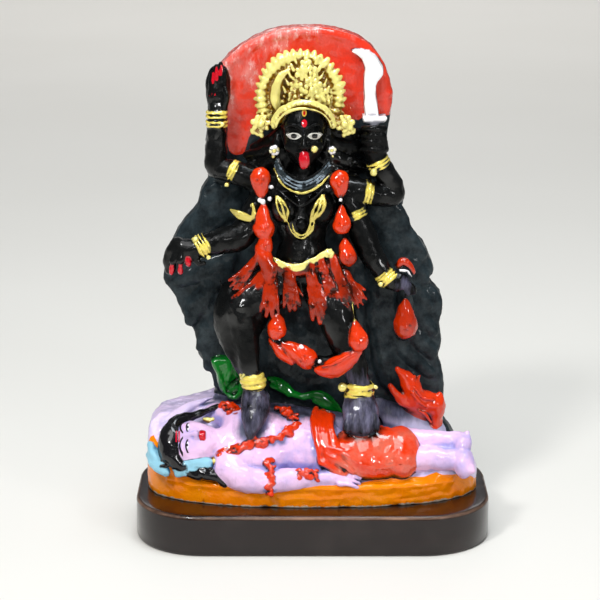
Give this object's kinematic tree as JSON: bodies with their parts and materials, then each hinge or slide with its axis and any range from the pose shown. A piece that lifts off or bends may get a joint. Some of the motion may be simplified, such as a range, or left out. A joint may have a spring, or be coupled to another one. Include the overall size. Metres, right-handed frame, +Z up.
{
  "type": "kali figure",
  "caption": "Painted plaster figure of Kali standing on the reclining Shiva before a round halo slab, on a low lacquered plinth that rests on a shelf or altar.",
  "frame": {"origin": "middle of the plinth's flat underside", "axes": "+Z up to the top of the halo, front faces -Y, +X to the viewer's right"},
  "size_m": [0.154, 0.0844, 0.218],
  "materials": {
    "painted_plaster": "cast plaster in gloss enamel, black with red, gold, green, pink and orange",
    "lacquered_wood": "dark brown gloss lacquer"
  },
  "bodies": {
    "root": {"kali_casting": "painted_plaster", "plinth": "lacquered_wood"}
  },
  "joints": []
}
